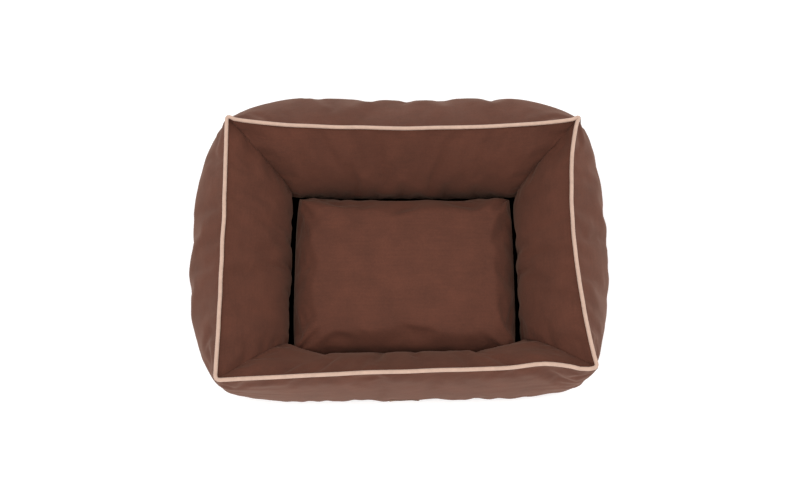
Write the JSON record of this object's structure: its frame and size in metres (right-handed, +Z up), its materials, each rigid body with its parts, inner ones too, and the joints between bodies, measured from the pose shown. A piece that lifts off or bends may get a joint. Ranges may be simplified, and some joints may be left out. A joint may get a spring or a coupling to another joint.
{
  "type": "pet cushion bed",
  "caption": "Rectangular pet bed with stuffed walls on all sides, a piped top edge with pointed corners, a zipped cover and a loose zipped cushion lying in the well.",
  "frame": {"origin": "middle of the outline at the underside, on the surface the bed stands on", "axes": "+X to the bed's right along its length, +Y to the back, away from the low front wall, +Z up"},
  "size_m": [0.6196, 0.4654, 0.1716],
  "materials": {
    "suede": "matte brushed faux suede",
    "lining": "matte plain lining",
    "underside": "matte non-slip cloth",
    "wadding": "matte polyester fibre",
    "tape": "matte bias tape",
    "cord": "matte filler cord",
    "zip_tape": "matte woven tape",
    "zip_teeth": "moulded plastic",
    "nickel": "dull nickel plate",
    "label": "woven label",
    "care_label": "printed satin, left blank"
  },
  "bodies": {
    "bed": {"base_panel": "underside", "base_pad": "wadding", "floor_panel": "lining", "wall_fill_back": "wadding", "outer_panel_back": "suede", "inner_panel_back": "suede", "wall_fill_right": "wadding", "outer_panel_right": "suede", "inner_panel_right": "suede", "wall_fill_front": "wadding", "outer_panel_front": "suede", "inner_panel_front": "suede", "wall_fill_left": "wadding", "outer_panel_left": "suede", "inner_panel_left": "suede", "outer_band_back": "suede", "piping_sleeve": "tape", "piping_cord": "cord", "front_label": "label", "care_label": "care_label", "cover_zip_tape_upper": "zip_tape", "cover_zip_teeth_upper": "zip_teeth", "cover_zip_tape_lower": "zip_tape", "cover_zip_teeth_lower": "zip_teeth", "cover_zip_stop_left": "nickel", "cover_zip_stop_right": "nickel"},
    "cushion": {"cushion_top_panel": "suede", "cushion_bottom_panel": "suede", "cushion_fill": "wadding", "cushion_zip_tape_upper": "zip_tape", "cushion_zip_teeth_upper": "zip_teeth", "cushion_zip_tape_lower": "zip_tape", "cushion_zip_teeth_lower": "zip_teeth", "cushion_zip_stop_left": "nickel", "cushion_zip_stop_right": "nickel"},
    "cushion_slider": {"cushion_zip_slider": "nickel"},
    "cover_slider": {"cover_zip_slider": "nickel"},
    "cover_pull": {"cover_zip_pull": "nickel"}
  },
  "joints": [
    {"name": "cushion_lift", "type": "slide", "parent": "bed", "child": "cushion", "axis": [0, 0, 1], "range_m": [0, 0.2]},
    {"name": "cushion_zip_run", "type": "slide", "parent": "cushion", "child": "cushion_slider", "axis": [1, 0, 0], "range_m": [-0.14, 0]},
    {"name": "cover_zip_run", "type": "slide", "parent": "bed", "child": "cover_slider", "axis": [1, 0, 0], "range_m": [0, 0.21]},
    {"name": "cover_pull_swing", "type": "hinge", "parent": "cover_slider", "child": "cover_pull", "pos_m": [-0.1052, 0.22509, 0.0195], "axis": [0, 0.4845, 0.8748], "range_deg": [0, 150]}
  ]
}
